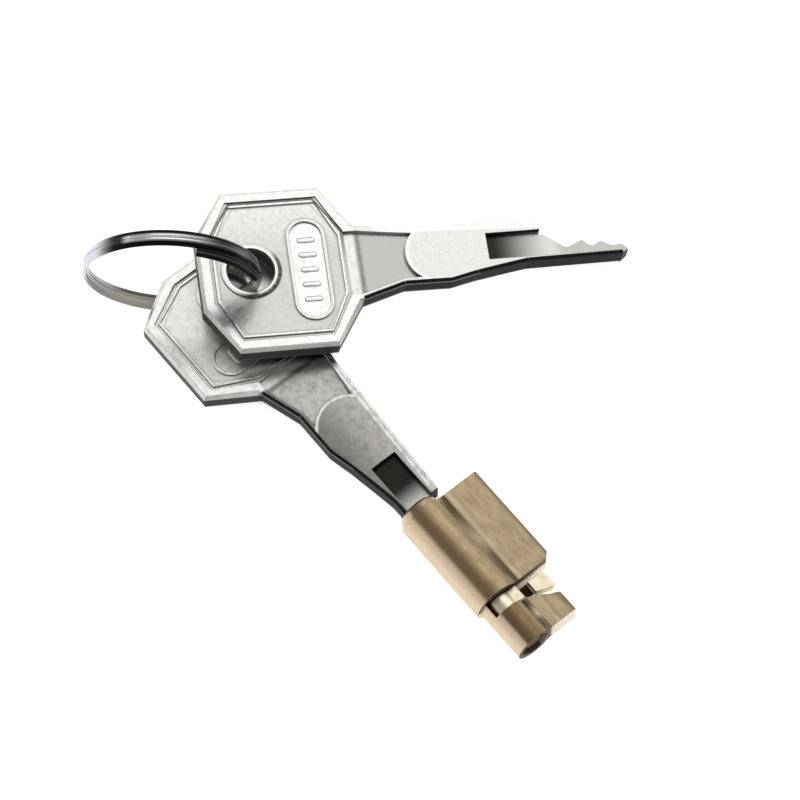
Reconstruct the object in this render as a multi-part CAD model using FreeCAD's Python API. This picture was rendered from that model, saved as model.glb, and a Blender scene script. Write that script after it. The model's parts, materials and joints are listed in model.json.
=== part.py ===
import FreeCAD, Part
import math
import os

from FreeCAD import Placement, Rotation, Vector

# Trailer hitch lock: a pin tumbler lock cylinder with its two keys on a split ring.
# Millimetres. The lock lies on its round side with its lug level, as in the photograph.
# Lock frame: X runs into the lock from its front face, Y points to the lug, Z is up.
# Key frame: X runs from the back of the bow to the tip, Y points to the cuts, Z is up.

# Fits and gaps shared by mating parts
RUN_GAP = 0.05
FACE_GAP = 0.05
KEY_GAP = 0.10
SEAT_GAP = 0.10
REST_GAP = 0.08

# Key, bow
BOW_LENGTH = 21.2
BOW_WIDTH = 23.3
BOW_CHAMFER_X = 4.1
BOW_CHAMFER_Y = 6.3
KEY_THICK = 3.0
FACE_RECESS = 0.22
RIM_WIDTH = 1.55
RIM_GROOVE = 0.45
RIM_LINE = 0.35
HOLE_DIAMETER = 6.3
HOLE_X = 6.8
HOLE_BOSS = 0.75
PANEL_X = 14.6
PANEL_Y = -0.4
PANEL_LENGTH = 14.8
PANEL_WIDTH = 5.2
PANEL_RIM = 0.45
PANEL_RECESS = 0.30

# Key, neck and blade
NECK_LENGTH = 6.7
NECK_TOP_Y = 4.9
NECK_FLOOR = 0.55
NECK_RAIL = 0.75
NECK_ROUND = 2.6
RAIL_END = 24.7
RAIL_END_Y = 3.95
RAIL_WIDTH = 1.15
BLADE_LOW_Y = -3.60
BLADE_START_Y = 2.3
MILL_START = 17.3
MILL_DEPTH = 0.80
LIP_TOP_Y = -1.05
GROOVE_LOW_Y = -0.55
GROOVE_TOP_Y = 0.45
GROOVE_DEPTH = 0.55
BLADE_END_LOW_Y = -1.60
TIP_REACH = 11.7
TIP_Y = -0.70
TIP_EDGE = 0.12
BOW_EDGE = 0.45
BLADE_EDGE = 0.35

# Points of the lower edge and of the cuts, from the end of the rail towards the tip
LOWER_EDGE = ((-12.7, -3.65), (-9.1, -2.80), (-5.2, -2.10), (-2.2, -1.60))
CUTS = ((0.55, 2.30), (3.15, 0.30), (3.65, 0.30), (5.60, 1.15), (6.60, 0.25),
        (7.00, 0.25), (8.10, 0.80), (9.50, 0.05), (9.90, 0.05), (10.90, 0.15))

# Lock housing
CYLINDER_RADIUS = 3.25
LUG_REACH = 8.85
LUG_THICK = 3.40
LUG_CHAMFER = 0.35
BODY_LENGTH = 15.0
SLOT_WIDTH = 2.2
END_LENGTH = 22.5
END_RADIUS = 2.70
END_LUG_REACH = 6.65
SCOOP = ((2.3, 0.0), (4.35, 1.0), (5.3, 1.7))
SCOOP_END = 2.3
BRIDGE_TOP_Y = -2.00
CORNER_RELIEF = 0.8
AXIS_FROM_KEY = 0.30

# Plug, cam and tail
PLUG_RADIUS = 2.70
SHOULDER_X = 12.4
SHOULDER_RADIUS = 1.75
NOSE_LENGTH = 1.2
NOSE_RADIUS = 2.70
NOSE_EDGE = 0.35
TAIL_RADIUS = 1.20
TAIL_END = 22.1
KEYWAY_END = 10.6
CAM_GAP = 0.10
CAM_THICK = 2.0
CAM_HUB_RADIUS = 1.90
CAM_ARM_HALF = 1.25
CAM_ROOT_REACH = 2.70
CAM_ARM_THICK = 0.50
CAM_NOSE_HALF = 0.70
CAM_NOSE = ((0.55, 4.45), (0.75, 6.85), (3.10, 7.05), (3.20, 6.60), (2.30, 4.45))
CAM_PIN_RADIUS = 0.40
CAM_PIN_X = 1.15
CLIP_BORE = 2.10
CLIP_POCKET = 1.40
CLIP_THICK = 0.55
CLIP_RADIUS = 1.85
CLIP_GROOVE_RADIUS = 0.85
CLIP_FROM_FLOOR = 0.10
CLIP_MOUTH = 0.70

# Pin stacks
PIN_COUNT = 3
PIN_FIRST_X = 2.10
PIN_PITCH = 3.15
PIN_RADIUS = 0.95
PIN_POINT = 0.45
PIN_LIFT = (0.95, 0.60, 0.30)
DRIVER_LENGTH = 2.1
SPRING_RADIUS = 0.80
SPRING_WIRE = 0.16
SPRING_TURNS = 4.5
SPRING_SIDES = 4
CAP_THICK = 0.80
CAP_RADIUS = 1.15

# Split ring
RING_OUTER = 11.7
RING_WALL = 0.90
COIL_WIDTH = 1.10
COIL_GROOVE = 0.10
COIL_END_FROM = 14.0
COIL_END_TO = 80.0

# How the pieces lie on the surface, read off the photograph
LOCK_YAW = -49.3
SPARE_YAW = 9.7
SPARE_HOLE_DX = 3.25
SPARE_HOLE_DY = 1.15
RING_FROM_HOLE = 6.60
RING_LEAN = 3.5
RING_PAST_HOLE = 0.0

Z_AXIS = Vector(0, 0, 1)
X_AXIS = Vector(1, 0, 0)
Y_AXIS = Vector(0, 1, 0)
HALF_TURN = 180.0
QUARTER_TURN = 90.0
OVERSHOOT = 1.0


def prism(points, bottom, top):
    """Closed outline in XY made solid between two heights."""
    corners = [Vector(x, y, bottom) for x, y in points]
    face = Part.Face(Part.makePolygon(corners + corners[:1]))
    return face.extrude(Vector(0, 0, top - bottom))


def disc(radius, length, start, axis):
    """Cylinder from a start point along an axis."""
    return Part.makeCylinder(radius, length, start, axis)


def box(x0, x1, y0, y1, z0, z1):
    """Axis-aligned block between two corners."""
    return Part.makeBox(x1 - x0, y1 - y0, z1 - z0, Vector(x0, y0, z0))


def one_solid(shape):
    """The single solid of a finished cut or fuse."""
    refined = shape.removeSplitter()
    solids = sorted(refined.Solids, key=lambda s: s.Volume)
    return solids[-1]


def octagon(inset):
    """Outline of the bow, drawn in by an even inset."""
    length = BOW_LENGTH
    half = BOW_WIDTH / 2
    slope = math.hypot(BOW_CHAMFER_X, BOW_CHAMFER_Y)
    along = inset * (slope - BOW_CHAMFER_Y) / BOW_CHAMFER_X
    across = inset * (slope - BOW_CHAMFER_X) / BOW_CHAMFER_Y
    x_low = inset
    x_high = length - inset
    x_chamfer = BOW_CHAMFER_X + along
    y_side = half - inset
    y_chamfer = half - BOW_CHAMFER_Y - across
    return [(x_chamfer, y_side), (length - x_chamfer, y_side), (x_high, y_chamfer),
            (x_high, -y_chamfer), (length - x_chamfer, -y_side), (x_chamfer, -y_side),
            (x_low, -y_chamfer), (x_low, y_chamfer)]


def stadium(inset, bottom, top):
    """Oval panel of the bow, long across the key, drawn in by an even inset."""
    radius = PANEL_WIDTH / 2 - inset
    low_y = PANEL_Y - (PANEL_LENGTH - PANEL_WIDTH) / 2
    high_y = PANEL_Y + (PANEL_LENGTH - PANEL_WIDTH) / 2
    body = box(PANEL_X - radius, PANEL_X + radius, low_y, high_y, bottom, top)
    low = disc(radius, top - bottom, Vector(PANEL_X, low_y, bottom), Z_AXIS)
    high = disc(radius, top - bottom, Vector(PANEL_X, high_y, bottom), Z_AXIS)
    return body.fuse([low, high])


def bow_recess(bottom, top):
    """What is sunk below the rims on one face of the bow."""
    inner = RIM_WIDTH + RIM_GROOVE + RIM_LINE
    groove = prism(octagon(RIM_WIDTH), bottom, top).cut(prism(octagon(RIM_WIDTH + RIM_GROOVE), bottom, top))
    field = prism(octagon(inner), bottom, top)
    boss = disc(HOLE_DIAMETER / 2 + HOLE_BOSS, top - bottom, Vector(HOLE_X, 0, bottom), Z_AXIS)
    panel = stadium(0.0, bottom, top)
    return groove.fuse(field.cut(boss.fuse(panel)))


def lower_points():
    """Lower edge of neck and blade, from the bow to the tip."""
    rail = BOW_LENGTH + RAIL_END
    half = BOW_WIDTH / 2 - BOW_CHAMFER_Y
    points = [(BOW_LENGTH, -half), (BOW_LENGTH + NECK_LENGTH - OVERSHOOT, BLADE_LOW_Y)]
    points += [(rail + x, y) for x, y in LOWER_EDGE]
    return points + [(rail + TIP_REACH - OVERSHOOT, BLADE_END_LOW_Y + TIP_EDGE)]


def blade_outline():
    """Outline of neck and blade from the bow to the tip."""
    rail = BOW_LENGTH + RAIL_END
    half = BOW_WIDTH / 2 - BOW_CHAMFER_Y
    lower = [(BOW_LENGTH - OVERSHOOT, -half)] + lower_points() + [(rail + TIP_REACH, TIP_Y)]
    upper = [(BOW_LENGTH - OVERSHOOT, half), (BOW_LENGTH, half), (BOW_LENGTH + NECK_LENGTH / 2, NECK_TOP_Y)]
    upper += [(rail, RAIL_END_Y), (rail, BLADE_START_Y)]
    upper += [(rail + x, y) for x, y in CUTS]
    return upper + lower[::-1]


def neck_recess(bottom, top):
    """Sunk floor of the neck between its two rails, closed by the rounded start of the blade."""
    half = BOW_WIDTH / 2 - BOW_CHAMFER_Y
    end = BOW_LENGTH + NECK_LENGTH
    points = [(BOW_LENGTH - RIM_WIDTH, -half + NECK_RAIL), (BOW_LENGTH, -half + NECK_RAIL),
              (end - OVERSHOOT, BLADE_LOW_Y + NECK_RAIL), (end + NECK_ROUND, BLADE_LOW_Y + NECK_RAIL),
              (end + NECK_ROUND, NECK_TOP_Y - 2 * NECK_RAIL), (BOW_LENGTH + NECK_LENGTH / 2, NECK_TOP_Y - NECK_RAIL),
              (BOW_LENGTH, half - NECK_RAIL), (BOW_LENGTH - RIM_WIDTH, half - NECK_RAIL)]
    height = (NECK_TOP_Y + BLADE_LOW_Y) / 2
    radius = (NECK_TOP_Y - BLADE_LOW_Y) / 2
    start = disc(radius, top - bottom, Vector(end - OVERSHOOT / 2 + radius, height, bottom), Z_AXIS)
    return prism(points, bottom, top).cut(start)


def bow_body(half):
    """Bow plate with its edges drawn in towards both faces."""
    mid = half - BOW_EDGE
    body = prism(octagon(0.0), -mid, mid)
    for sign in (1, -1):
        wide = [Vector(x, y, sign * mid) for x, y in octagon(0.0)]
        narrow = [Vector(x, y, sign * half) for x, y in octagon(BOW_EDGE)]
        wires = [Part.makePolygon(wide + wide[:1]), Part.makePolygon(narrow + narrow[:1])]
        body = body.fuse(Part.makeLoft(wires, True, True))
    return body


def edge_wedge(start, end, sign, half):
    """What a chamfer takes off one straight edge of the blade, outline running anticlockwise."""
    run = math.hypot(end[0] - start[0], end[1] - start[1])
    out_x = (end[1] - start[1]) / run
    out_y = (start[0] - end[0]) / run
    inner = Vector(start[0] - out_x * BLADE_EDGE, start[1] - out_y * BLADE_EDGE, sign * half)
    low = Vector(start[0], start[1], sign * (half - BLADE_EDGE))
    far = Vector(start[0] + out_x * BLADE_EDGE, start[1] + out_y * BLADE_EDGE, sign * (half + BLADE_EDGE))
    corners = [inner, low, Vector(far.x, far.y, low.z), far, Vector(inner.x, inner.y, far.z)]
    face = Part.Face(Part.makePolygon(corners + corners[:1]))
    return face.extrude(Vector(end[0] - start[0], end[1] - start[1], 0))


def key_solid():
    """One key in the key frame, alike for both."""
    half = KEY_THICK / 2
    rail = BOW_LENGTH + RAIL_END
    body = bow_body(half).fuse(prism(blade_outline(), -half, half)).removeSplitter()
    tip = rail + TIP_REACH + OVERSHOOT
    top = half + OVERSHOOT
    cuts = []
    for sign in (1, -1):
        low, high = sorted((sign * (half - FACE_RECESS), sign * top))
        cuts.append(bow_recess(low, high))
        low, high = sorted((sign * (half - PANEL_RECESS), sign * top))
        cuts.append(stadium(PANEL_RIM, low, high))
        low, high = sorted((sign * (half - NECK_FLOOR), sign * top))
        cuts.append(neck_recess(low, high))
    mill = box(BOW_LENGTH + MILL_START, rail, LIP_TOP_Y, RAIL_END_Y - RAIL_WIDTH, half - MILL_DEPTH, top)
    mill_end = box(rail, tip, LIP_TOP_Y, RAIL_END_Y, half - MILL_DEPTH, top)
    groove = box(BOW_LENGTH + MILL_START, tip, GROOVE_LOW_Y, GROOVE_TOP_Y, -top, GROOVE_DEPTH - half)
    hole = disc(HOLE_DIAMETER / 2, 2 * top, Vector(HOLE_X, 0, -top), Z_AXIS)
    cuts += [mill, mill_end, groove, hole]
    lower = lower_points()
    for sign in (1, -1):
        cuts += [edge_wedge(start, end, sign, half) for start, end in zip(lower, lower[1:])]
    for cut in cuts:
        body = body.cut(cut)
    return one_solid(body)


def keyway():
    """The slot that the cut end of the key slides in, in the lock frame."""
    half = KEY_THICK / 2 + KEY_GAP
    x0 = -NOSE_LENGTH - OVERSHOOT
    low = BLADE_END_LOW_Y - KEY_GAP - AXIS_FROM_KEY
    high = BLADE_START_Y + KEY_GAP - AXIS_FROM_KEY
    lip = LIP_TOP_Y + KEY_GAP - AXIS_FROM_KEY
    floor = KEY_THICK / 2 - MILL_DEPTH + KEY_GAP
    main = box(x0, KEYWAY_END, low, high, -half, floor)
    edge = box(x0, KEYWAY_END, low, lip, -half, half)
    rib = box(x0, KEYWAY_END, GROOVE_LOW_Y + KEY_GAP - AXIS_FROM_KEY, GROOVE_TOP_Y - KEY_GAP - AXIS_FROM_KEY,
              -half, GROOVE_DEPTH - KEY_GAP - KEY_THICK / 2)
    return main.fuse(edge).cut(rib)


def pin_x(index):
    """Place of one pin stack along the lock."""
    return PIN_FIRST_X + index * PIN_PITCH


def lug_block(x0, x1, reach, chamfer):
    """Lug of the profile, with a chamfered outer edge."""
    half = LUG_THICK / 2
    points = [(0, -half), (reach - chamfer, -half), (reach, chamfer - half),
              (reach, half - chamfer), (reach - chamfer, half), (0, half)]
    corners = [Vector(x0, y, z) for y, z in points]
    return Part.Face(Part.makePolygon(corners + corners[:1])).extrude(Vector(x1 - x0, 0, 0))


def slot_cutter():
    """The milled cam slot: square at the front, scooped at the back, open at the lug."""
    reach = LUG_REACH + OVERSHOOT
    high = CYLINDER_RADIUS + OVERSHOOT
    scoop = [(BODY_LENGTH + SLOT_WIDTH + dx, y) for y, dx in SCOOP]
    points = [(BODY_LENGTH, BRIDGE_TOP_Y), (BODY_LENGTH, reach), (BODY_LENGTH + SLOT_WIDTH + SCOOP_END, reach)]
    points += [(BODY_LENGTH + SLOT_WIDTH + SCOOP_END, END_LUG_REACH)]
    points += scoop[::-1] + [(BODY_LENGTH + SLOT_WIDTH, BRIDGE_TOP_Y)]
    return prism(points, -high, high)


def housing():
    """Brass body: long profile, cam slot, smaller end part, and every bore."""
    body = disc(CYLINDER_RADIUS, BODY_LENGTH, Vector(0, 0, 0), X_AXIS)
    body = body.fuse(lug_block(0, BODY_LENGTH, LUG_REACH, LUG_CHAMFER))
    end = disc(END_RADIUS, END_LENGTH - BODY_LENGTH, Vector(BODY_LENGTH, 0, 0), X_AXIS)
    end = end.fuse(lug_block(BODY_LENGTH, END_LENGTH, END_LUG_REACH, LUG_CHAMFER))
    body = body.fuse(end)
    relief = prism([(BODY_LENGTH - CORNER_RELIEF, LUG_REACH), (BODY_LENGTH, LUG_REACH - CORNER_RELIEF),
                    (BODY_LENGTH + OVERSHOOT, LUG_REACH + OVERSHOOT)], -LUG_THICK, LUG_THICK)
    bore = disc(PLUG_RADIUS + RUN_GAP, SHOULDER_X + FACE_GAP + OVERSHOOT, Vector(-OVERSHOOT, 0, 0), X_AXIS)
    bore = bore.fuse(disc(SHOULDER_RADIUS + RUN_GAP, BODY_LENGTH, Vector(0, 0, 0), X_AXIS))
    tail = disc(TAIL_RADIUS + RUN_GAP, END_LENGTH, Vector(OVERSHOOT, 0, 0), X_AXIS)
    pocket = disc(CLIP_BORE, CLIP_POCKET + OVERSHOOT, Vector(END_LENGTH - CLIP_POCKET, 0, 0), X_AXIS)
    for cutter in (slot_cutter(), relief, bore, tail, pocket):
        body = body.cut(cutter)
    for index in range(PIN_COUNT):
        chamber = disc(PIN_RADIUS + RUN_GAP, LUG_REACH, Vector(pin_x(index), OVERSHOOT, 0), Y_AXIS)
        seat = disc(CAP_RADIUS, CAP_THICK + OVERSHOOT, Vector(pin_x(index), LUG_REACH - CAP_THICK, 0), Y_AXIS)
        body = body.cut(chamber).cut(seat)
    return one_solid(body)


def plug():
    """Keyed plug with its nose in front and its tail through cam and end part."""
    body = disc(PLUG_RADIUS, SHOULDER_X, Vector(0, 0, 0), X_AXIS)
    nose = Part.makeCone(NOSE_RADIUS - NOSE_EDGE, NOSE_RADIUS, NOSE_EDGE, Vector(-NOSE_LENGTH, 0, 0), X_AXIS)
    neck = disc(NOSE_RADIUS, NOSE_LENGTH - NOSE_EDGE, Vector(NOSE_EDGE - NOSE_LENGTH, 0, 0), X_AXIS)
    shoulder = disc(SHOULDER_RADIUS, BODY_LENGTH - SHOULDER_X, Vector(SHOULDER_X, 0, 0), X_AXIS)
    tail = disc(TAIL_RADIUS, TAIL_END - BODY_LENGTH, Vector(BODY_LENGTH, 0, 0), X_AXIS)
    body = body.fuse([nose, neck, shoulder, tail]).removeSplitter()
    clip_x = clip_start()
    ring = disc(TAIL_RADIUS + OVERSHOOT, CLIP_THICK + 2 * FACE_GAP, Vector(clip_x - FACE_GAP, 0, 0), X_AXIS)
    core = disc(CLIP_GROOVE_RADIUS, CLIP_THICK + 2 * FACE_GAP, Vector(clip_x - FACE_GAP, 0, 0), X_AXIS)
    body = body.cut(ring.cut(core)).cut(keyway()).cut(cam_pin_shape(0.0))
    for index in range(PIN_COUNT):
        body = body.cut(disc(PIN_RADIUS + RUN_GAP, PLUG_RADIUS + OVERSHOOT, Vector(pin_x(index), 0, 0), Y_AXIS))
    return one_solid(body)


def cam_pin_shape(gap):
    """Cross pin through cam hub and tail."""
    reach = CAM_HUB_RADIUS - KEY_GAP
    return disc(CAM_PIN_RADIUS + gap, 2 * reach, Vector(BODY_LENGTH + CAM_PIN_X, 0, -reach), Z_AXIS)


def cam():
    """Cam: round hub on the tail with a flat nose that stands in the slot."""
    start = BODY_LENGTH + CAM_GAP
    hub = disc(CAM_HUB_RADIUS, CAM_THICK, Vector(start, 0, 0), X_AXIS)
    points = [(BODY_LENGTH + x, y) for x, y in CAM_NOSE]
    nose = prism(points, -CAM_NOSE_HALF, CAM_NOSE_HALF)
    arm = box(BODY_LENGTH + CAM_NOSE[0][0], start + CAM_THICK, 0, CAM_NOSE[0][1] + KEY_GAP,
              -CAM_NOSE_HALF, CAM_ARM_THICK - CAM_NOSE_HALF)
    root = box(start, start + CAM_THICK, 0, CAM_ROOT_REACH, -CAM_ARM_HALF, CAM_ARM_HALF)
    body = hub.fuse([nose, arm, root])
    bore = disc(TAIL_RADIUS, CAM_THICK + 2 * OVERSHOOT, Vector(start - OVERSHOOT, 0, 0), X_AXIS)
    return one_solid(body.cut(bore).cut(cam_pin_shape(0.0)))


def clip_start():
    """Where the clip's front face stands, just off the floor of its pocket."""
    return END_LENGTH - CLIP_POCKET + CLIP_FROM_FLOOR


def retaining_clip():
    """Open spring clip in the tail's groove."""
    start = clip_start()
    body = disc(CLIP_RADIUS, CLIP_THICK, Vector(start, 0, 0), X_AXIS)
    body = body.cut(disc(CLIP_GROOVE_RADIUS, CLIP_THICK, Vector(start, 0, 0), X_AXIS))
    mouth = box(start, start + CLIP_THICK, -CLIP_RADIUS - OVERSHOOT, 0, -CLIP_MOUTH, CLIP_MOUTH)
    return one_solid(body.cut(mouth))


def key_pin(index):
    """Lower pin: blunt point on the key side, flat at the shear line."""
    low = PIN_LIFT[index]
    start = Vector(pin_x(index), low, 0)
    point = Part.makeCone(PIN_RADIUS - PIN_POINT, PIN_RADIUS, PIN_POINT, start, Y_AXIS)
    top = math.sqrt((PLUG_RADIUS - RUN_GAP) ** 2 - PIN_RADIUS ** 2)
    body = disc(PIN_RADIUS, top - low - PIN_POINT, Vector(pin_x(index), low + PIN_POINT, 0), Y_AXIS)
    return one_solid(point.fuse(body))


def driver_pin(index):
    """Upper pin, in the lug just above the shear line."""
    low = PLUG_RADIUS + 2 * RUN_GAP
    return disc(PIN_RADIUS, DRIVER_LENGTH, Vector(pin_x(index), low, 0), Y_AXIS)


def spring_span():
    """Heights that a chamber spring fills, between driver pin and cap."""
    low = PLUG_RADIUS + 2 * RUN_GAP + DRIVER_LENGTH
    return low, LUG_REACH - CAP_THICK


def pin_spring(index):
    """Coil spring between driver pin and cap, its wire drawn with few sides."""
    low, high = spring_span()
    reach = high - low - 2 * SPRING_WIRE
    radius = SPRING_RADIUS - SPRING_WIRE
    path = Part.makeHelix(reach / SPRING_TURNS, reach, radius)
    turns = [2 * math.pi * side / SPRING_SIDES for side in range(SPRING_SIDES)]
    corners = [Vector(radius + SPRING_WIRE * math.cos(turn), 0, SPRING_WIRE * math.sin(turn)) for turn in turns]
    coil = path.makePipeShell([Part.makePolygon(corners + corners[:1])], True, True)
    return placed(coil, Placement(Vector(pin_x(index), low + SPRING_WIRE, 0), Rotation(X_AXIS, -QUARTER_TURN)))


def chamber_cap(index):
    """Press-in plug that closes one chamber at the lug's outer edge."""
    start = Vector(pin_x(index), LUG_REACH - CAP_THICK, 0)
    return disc(CAP_RADIUS, CAP_THICK, start, Y_AXIS)


def split_ring():
    """Ring of two flat coils side by side, with the outer coil's end lying over them."""
    inner = RING_OUTER - RING_WALL
    parts = []
    for start in (-COIL_WIDTH, 0.0):
        outer_disc = disc(RING_OUTER, COIL_WIDTH, Vector(0, start, 0), Y_AXIS)
        parts.append(outer_disc.cut(disc(inner, COIL_WIDTH, Vector(0, start, 0), Y_AXIS)))
    sweep = COIL_END_TO - COIL_END_FROM
    end = Part.makeCylinder(RING_OUTER, COIL_WIDTH, Vector(0, 0, 0), Z_AXIS, sweep)
    end = end.cut(disc(inner, COIL_WIDTH, Vector(0, 0, 0), Z_AXIS))
    end.rotate(Vector(0, 0, 0), Z_AXIS, -COIL_END_TO)
    end.rotate(Vector(0, 0, 0), X_AXIS, -QUARTER_TURN)
    end.translate(Vector(0, -2 * COIL_WIDTH, 0))
    body = parts[0].fuse([parts[1], end]).removeSplitter()
    for depth in (0.0, -COIL_WIDTH):
        for radius in (RING_OUTER, inner):
            body = body.cut(coil_line(radius, depth))
    return one_solid(body)


def coil_line(radius, depth):
    """Fine vee groove between two coils."""
    points = [Vector(radius - COIL_GROOVE, depth, 0), Vector(radius, depth - COIL_GROOVE, 0),
              Vector(radius + COIL_GROOVE, depth, 0), Vector(radius, depth + COIL_GROOVE, 0)]
    face = Part.Face(Part.makePolygon(points + points[:1]))
    return face.revolve(Vector(0, 0, 0), Y_AXIS, 2 * HALF_TURN)


def key_to_lock():
    """Placement of the inserted key in the lock frame."""
    back = -(BOW_LENGTH + RAIL_END + NOSE_LENGTH + SEAT_GAP)
    return Placement(Vector(back, -AXIS_FROM_KEY, 0), Rotation())


def lock_to_world():
    """Placement of the lock, its round side on the surface."""
    return Placement(Vector(0, 0, CYLINDER_RADIUS), Rotation(Z_AXIS, LOCK_YAW))


def hole_in_world():
    """Centre of the inserted key's hole."""
    place = lock_to_world().multiply(key_to_lock())
    return place.multVec(Vector(HOLE_X, 0, 0))


def spare_to_world():
    """Placement of the spare key: its tip on the surface, its bow across the other bow."""
    place = lock_to_world().multiply(key_to_lock())
    hole = hole_in_world() + Vector(SPARE_HOLE_DX, SPARE_HOLE_DY, 0)
    yaw = Rotation(Z_AXIS, SPARE_YAW)
    along = yaw.multVec(X_AXIS)
    tip_along = hole.dot(along) + BOW_LENGTH + RAIL_END + TIP_REACH - HOLE_X
    rest = CYLINDER_RADIUS + KEY_THICK / 2 + REST_GAP
    corners = [place.multVec(Vector(x, y, 0)) for x, y in octagon(BOW_EDGE)]
    pitch = max(math.degrees(math.asin(rest / (tip_along - corner.dot(along)))) for corner in corners)
    turn = yaw.multiply(Rotation(Y_AXIS, pitch))
    length = BOW_LENGTH + RAIL_END + TIP_REACH - HOLE_X
    low = turn.multVec(Vector(length, 0, -KEY_THICK / 2)).z
    centre = Vector(hole.x, hole.y, -low)
    return Placement(centre - turn.multVec(Vector(HOLE_X, 0, 0)), turn)


def ring_to_world():
    """Placement of the ring, upright on the surface, through both holes."""
    hole = hole_in_world()
    lean = math.radians(RING_LEAN)
    height = RING_OUTER * math.cos(lean) + COIL_WIDTH * math.sin(lean)
    back = (height - hole.z) * math.tan(lean)
    centre = Vector(hole.x - RING_FROM_HOLE, hole.y + RING_PAST_HOLE - back, height)
    return Placement(centre, Rotation(X_AXIS, RING_LEAN))


def placed(shape, placement):
    """A copy of a shape at a placement."""
    copy = shape.copy()
    copy.transformShape(placement.toMatrix())
    return copy


def world_nodes():
    """Every piece where it lies, before the origin is set."""
    lock = lock_to_world()
    key = key_solid()
    nodes = {"housing": placed(housing(), lock), "plug": placed(plug(), lock), "cam": placed(cam(), lock),
             "cam_pin": placed(cam_pin_shape(0.0), lock), "retaining_clip": placed(retaining_clip(), lock)}
    for index in range(PIN_COUNT):
        number = index + 1
        nodes[f"key_pin_{number}"] = placed(key_pin(index), lock)
        nodes[f"driver_pin_{number}"] = placed(driver_pin(index), lock)
        nodes[f"pin_spring_{number}"] = placed(pin_spring(index), lock)
        nodes[f"chamber_cap_{number}"] = placed(chamber_cap(index), lock)
    nodes["inserted_key"] = placed(key, lock.multiply(key_to_lock()))
    nodes["spare_key"] = placed(key, spare_to_world())
    nodes["split_ring"] = placed(split_ring(), ring_to_world())
    return nodes


def origin_shift(nodes):
    """Move that puts the origin under the middle of the whole object."""
    bounds = Part.makeCompound(list(nodes.values())).optimalBoundingBox(True, False)
    return Vector(-bounds.Center.x, -bounds.Center.y, -bounds.ZMin)


def main():
    """Writes one file per piece."""
    os.makedirs("parts", exist_ok=True)
    nodes = world_nodes()
    shift = origin_shift(nodes)
    for name, shape in nodes.items():
        moved = placed(shape, Placement(shift, Rotation()))
        moved.exportStep(f"parts/{name}.step")
        print(name, moved.isValid(), moved.ShapeType, round(moved.Volume, 3))
    print("shift", shift)


if __name__ == "__main__":
    main()
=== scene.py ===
"""Looks of a trailer hitch lock: brass cylinder and two flat keys on a split ring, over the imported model."""

import json
import logging
import math
from dataclasses import dataclass, field
from enum import Enum

import bmesh
import bpy
from mathutils import Matrix, Vector

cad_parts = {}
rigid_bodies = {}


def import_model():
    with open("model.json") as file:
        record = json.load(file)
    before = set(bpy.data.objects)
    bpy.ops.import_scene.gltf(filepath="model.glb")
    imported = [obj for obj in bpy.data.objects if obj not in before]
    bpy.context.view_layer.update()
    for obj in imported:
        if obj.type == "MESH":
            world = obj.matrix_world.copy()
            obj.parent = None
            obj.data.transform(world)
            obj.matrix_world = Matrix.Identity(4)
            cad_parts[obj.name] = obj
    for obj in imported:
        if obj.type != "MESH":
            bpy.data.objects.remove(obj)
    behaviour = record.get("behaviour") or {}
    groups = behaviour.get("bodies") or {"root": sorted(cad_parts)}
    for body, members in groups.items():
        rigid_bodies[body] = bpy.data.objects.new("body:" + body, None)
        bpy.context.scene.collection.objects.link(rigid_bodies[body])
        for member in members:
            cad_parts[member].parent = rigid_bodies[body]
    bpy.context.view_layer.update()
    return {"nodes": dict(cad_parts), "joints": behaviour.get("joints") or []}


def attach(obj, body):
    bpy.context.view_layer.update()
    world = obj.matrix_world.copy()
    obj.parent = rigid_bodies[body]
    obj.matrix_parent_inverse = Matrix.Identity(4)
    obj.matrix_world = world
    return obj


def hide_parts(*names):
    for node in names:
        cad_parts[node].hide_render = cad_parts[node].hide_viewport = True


Material = bpy.types.Material
Mesh = bmesh.types.BMesh
Piece = bpy.types.Object
Socket = bpy.types.NodeSocket
Tree = bpy.types.NodeTree
Pair = tuple[float, float]
LOG = logging.getLogger("hitch_lock")
MM = 0.001
# The inserted key's hole, from the lock's front and from its axis.
HOLE_BACK_MM = 40.4
AXIS_OFF_MM = 0.30


def linear(hex_code: str) -> tuple[float, float, float, float]:
    """Turns an sRGB hex colour to the linear colour that a shader takes.

    Args:
        hex_code: Six hex digits after a hash sign.

    Returns:
        Red, green, blue and an alpha of one.
    """
    levels = [int(hex_code[i:i + 2], 16) / 255 for i in (1, 3, 5)]
    red, green, blue = (c / 12.92 if c <= 0.04045 else ((c + 0.055) / 1.055) ** 2.4 for c in levels)
    return red, green, blue, 1.0


def per_metre(size_mm: float) -> float:
    """Scale of a pattern whose features have a size in millimetres."""
    return 1.0 / (size_mm * MM)


def add_node(tree: Tree, kind: str, settings: dict | None = None) -> bpy.types.Node:
    """Adds one node with its settings and links.

    Args:
        tree: The node tree it goes into.
        kind: The node's type name.
        settings: By property name, or by input name or number: a value to set or an output socket to link.

    Returns:
        The new node.
    """
    node = tree.nodes.new(kind)
    for key, value in (settings or {}).items():
        if isinstance(value, Socket):
            tree.links.new(value, node.inputs[key])
        elif isinstance(key, str) and hasattr(node, key):
            setattr(node, key, value)
        else:
            node.inputs[key].default_value = value
    return node


def fresh_tree(owner: Material | bpy.types.World) -> Tree:
    """Empties the node tree of a new material or world.

    Args:
        owner: The material or world.

    Returns:
        Its tree.
    """
    owner.use_nodes = True
    owner.node_tree.nodes.clear()
    return owner.node_tree


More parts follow.
